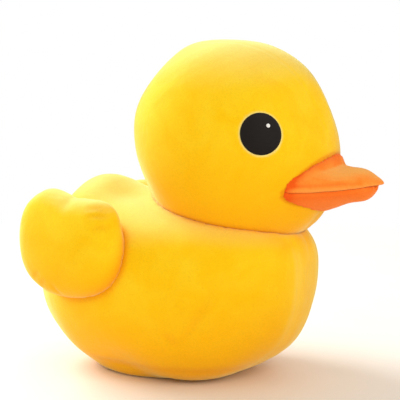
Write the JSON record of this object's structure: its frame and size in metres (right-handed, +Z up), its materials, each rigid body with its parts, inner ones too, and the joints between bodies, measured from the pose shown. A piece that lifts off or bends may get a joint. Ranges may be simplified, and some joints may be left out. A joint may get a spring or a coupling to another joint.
{
  "type": "plush duck",
  "caption": "Yellow stuffed toy duck with a round head, orange beak, embroidered eyes and puffy side wings, resting on its flat belly.",
  "frame": {"origin": "the middle of the flat patch under the belly, on the surface the toy stands on", "axes": "+Z up, -Y the way the beak points, +X the duck's own left side"},
  "size_m": [0.3204, 0.4272, 0.402],
  "materials": {
    "yellow_plush": "short-pile polyester plush, soft and matt with a pale sheen at the edges",
    "orange_fabric": "short brushed fabric, matt",
    "black_embroidery": "satin-stitched thread, dense and slightly shiny",
    "white_embroidery": "satin-stitched thread"
  },
  "bodies": {
    "root": {"body": "yellow_plush", "head": "yellow_plush", "wing_right": "yellow_plush", "wing_left": "yellow_plush", "upper_beak": "orange_fabric", "lower_beak": "orange_fabric", "eye_right": "black_embroidery", "eye_left": "black_embroidery", "eye_glint_right": "white_embroidery", "eye_glint_left": "white_embroidery"}
  },
  "joints": []
}
